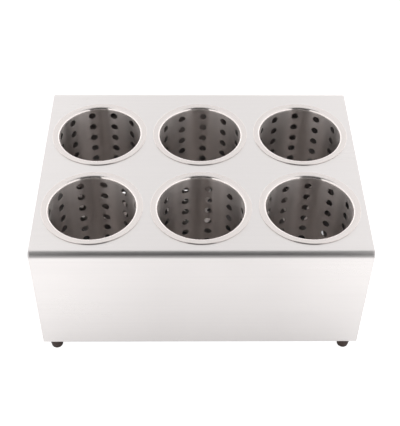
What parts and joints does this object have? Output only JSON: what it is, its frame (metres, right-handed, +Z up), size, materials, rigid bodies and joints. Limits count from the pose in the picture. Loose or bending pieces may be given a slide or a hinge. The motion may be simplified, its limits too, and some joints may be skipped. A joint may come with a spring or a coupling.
{
  "type": "cutlery holder",
  "caption": "Countertop cutlery holder: a folded steel housing on rubber feet, with perforated cups that hang in its deck by flat rims and lift out.",
  "frame": {"origin": "on the worktop under the middle of the housing, at the bottom centre of the whole object's box", "axes": "+X to the right along the rows of cups, -Y towards the front, +Z up"},
  "size_m": [0.4, 0.303, 0.1841],
  "materials": {
    "housing_steel": "satin, grained along the width",
    "cup_steel": "brushed around the wall and the rim",
    "foot_rubber": "matt black",
    "fastener_steel": "zinc plated"
  },
  "bodies": {
    "housing": {"deck_shell": "housing_steel", "side_panel_left": "housing_steel", "side_panel_right": "housing_steel", "foot_front_left": "foot_rubber", "foot_front_right": "foot_rubber", "foot_rear_left": "foot_rubber", "foot_rear_right": "foot_rubber", "foot_washers": "fastener_steel", "foot_screws": "fastener_steel", "foot_nuts": "fastener_steel"},
    "front_left_cup": {"cup_front_left": "cup_steel", "cup_base_front_left": "cup_steel"},
    "front_middle_cup": {"cup_front_middle": "cup_steel", "cup_base_front_middle": "cup_steel"},
    "front_right_cup": {"cup_front_right": "cup_steel", "cup_base_front_right": "cup_steel"},
    "rear_left_cup": {"cup_rear_left": "cup_steel", "cup_base_rear_left": "cup_steel"},
    "rear_middle_cup": {"cup_rear_middle": "cup_steel", "cup_base_rear_middle": "cup_steel"},
    "rear_right_cup": {"cup_rear_right": "cup_steel", "cup_base_rear_right": "cup_steel"}
  },
  "joints": [
    {"name": "front_left_cup_lift", "type": "slide", "parent": "housing", "child": "front_left_cup", "axis": [0, 0, 1], "range_m": [0, 0.15]},
    {"name": "front_middle_cup_lift", "type": "slide", "parent": "housing", "child": "front_middle_cup", "axis": [0, 0, 1], "range_m": [0, 0.15]},
    {"name": "front_right_cup_lift", "type": "slide", "parent": "housing", "child": "front_right_cup", "axis": [0, 0, 1], "range_m": [0, 0.15]},
    {"name": "rear_left_cup_lift", "type": "slide", "parent": "housing", "child": "rear_left_cup", "axis": [0, 0, 1], "range_m": [0, 0.15]},
    {"name": "rear_middle_cup_lift", "type": "slide", "parent": "housing", "child": "rear_middle_cup", "axis": [0, 0, 1], "range_m": [0, 0.15]},
    {"name": "rear_right_cup_lift", "type": "slide", "parent": "housing", "child": "rear_right_cup", "axis": [0, 0, 1], "range_m": [0, 0.15]}
  ]
}
